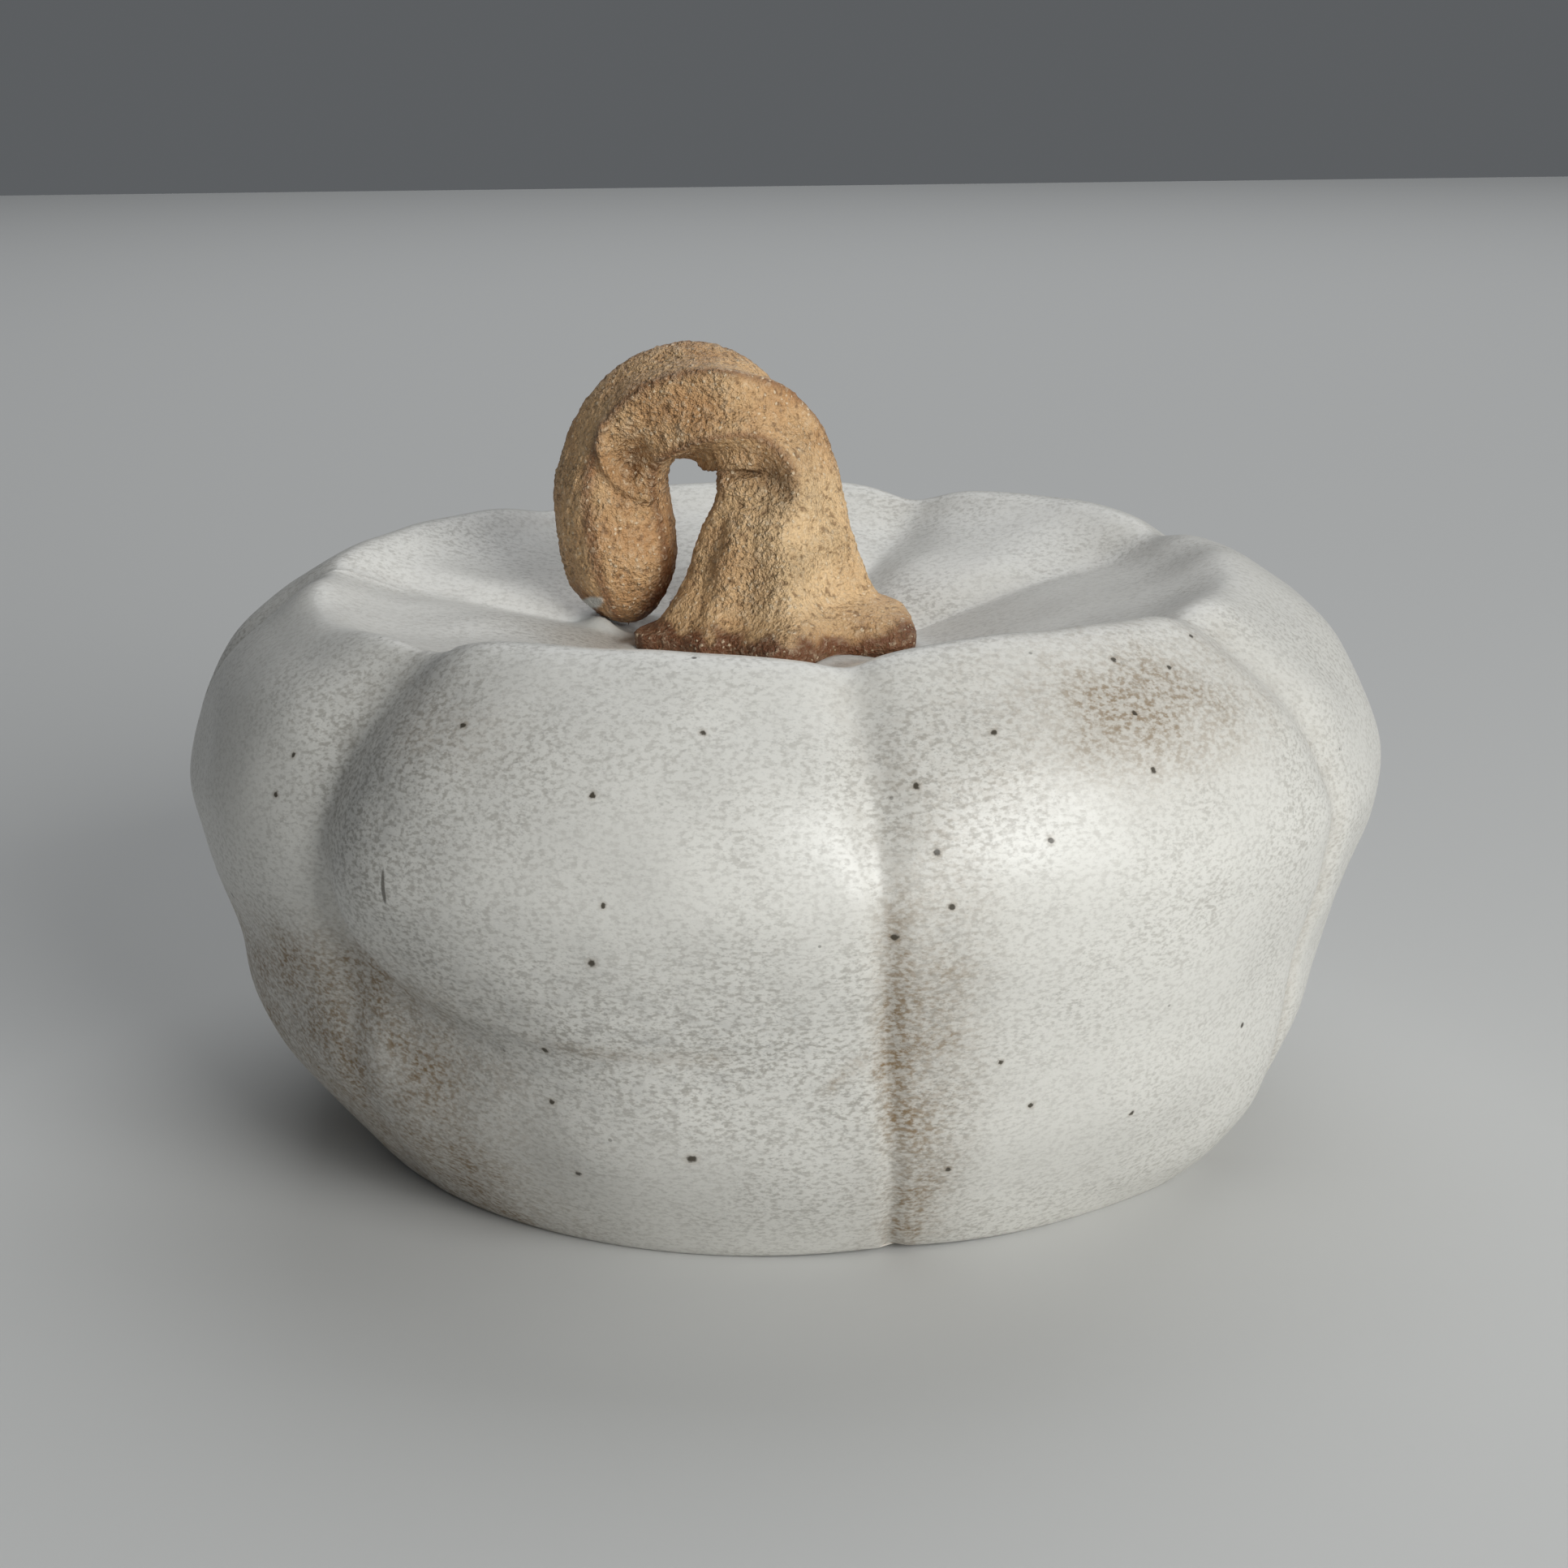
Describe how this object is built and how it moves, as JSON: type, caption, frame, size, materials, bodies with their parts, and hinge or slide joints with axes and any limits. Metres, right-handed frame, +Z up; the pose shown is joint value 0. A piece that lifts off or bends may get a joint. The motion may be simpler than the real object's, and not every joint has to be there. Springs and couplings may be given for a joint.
{
  "type": "ceramic pumpkin",
  "caption": "Hollow glazed stoneware pumpkin with rounded lobes, a flat foot and a bare-clay stem that bends over into a loop.",
  "frame": {"origin": "on the table, under the middle of the body", "axes": "+Z up, -Y towards the front, +X to the right; the stem bends over towards -X"},
  "size_m": [0.1301, 0.1322, 0.0847],
  "materials": {
    "glaze": "satin off-white stoneware glaze with fine grey-brown mottling, iron specks and brown breaks",
    "bare_clay": "unglazed toasted tan stoneware with coarse pale grog and a red-brown flash at its edges"
  },
  "bodies": {
    "root": {"body": "glaze", "stem": "bare_clay"}
  },
  "joints": []
}
